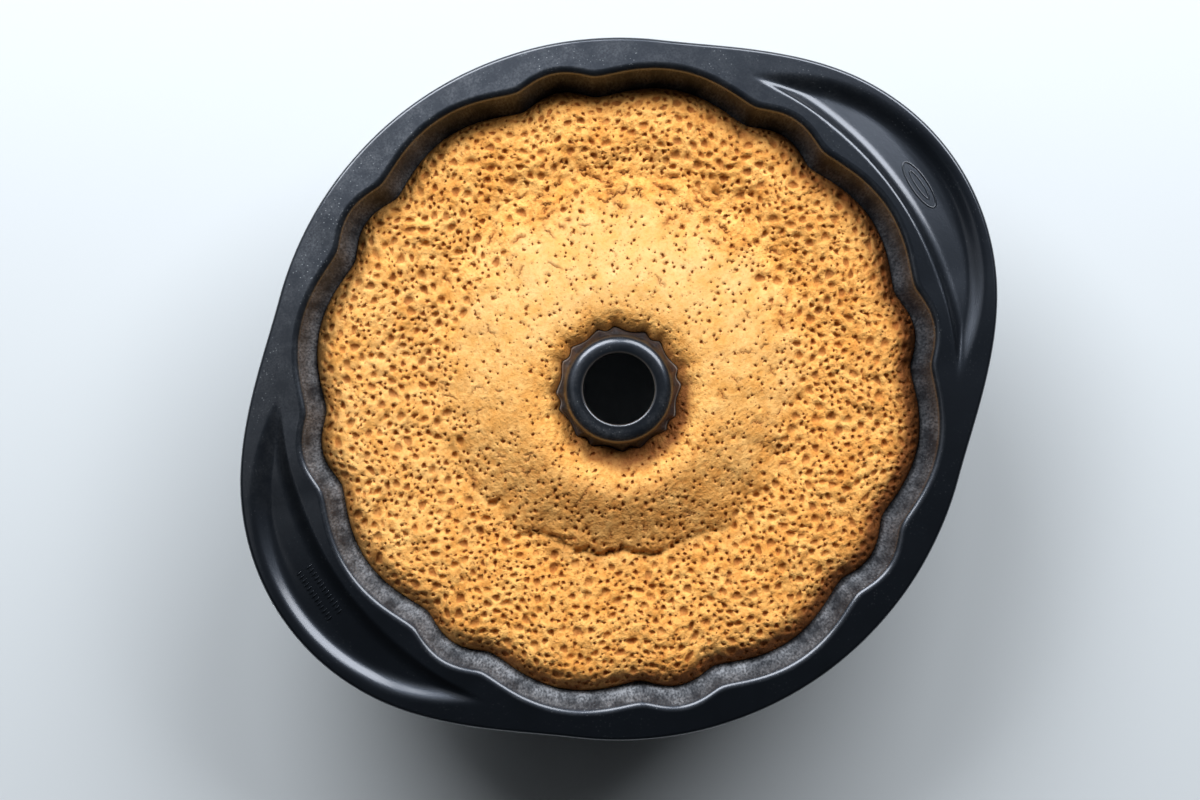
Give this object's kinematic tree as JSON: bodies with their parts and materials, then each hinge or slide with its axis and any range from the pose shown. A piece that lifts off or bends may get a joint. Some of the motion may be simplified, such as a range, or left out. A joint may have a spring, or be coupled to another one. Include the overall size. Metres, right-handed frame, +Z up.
{
  "type": "ring cake in a fluted pan",
  "caption": "Golden sponge ring cake, domed and porous on top, baked in a dark non-stick fluted tube pan with an ear handle on each side.",
  "frame": {"origin": "on the table, under the axis of the pan's tube", "axes": "+Z up along the tube, +X from the tube to one ear handle, +Y level and square to the ears"},
  "size_m": [0.3174, 0.2732, 0.0857],
  "materials": {
    "nonstick_steel": "dark satin non-stick coating",
    "cake_crust": null
  },
  "bodies": {
    "root": {"pan": "nonstick_steel", "cake": "cake_crust"}
  },
  "joints": []
}
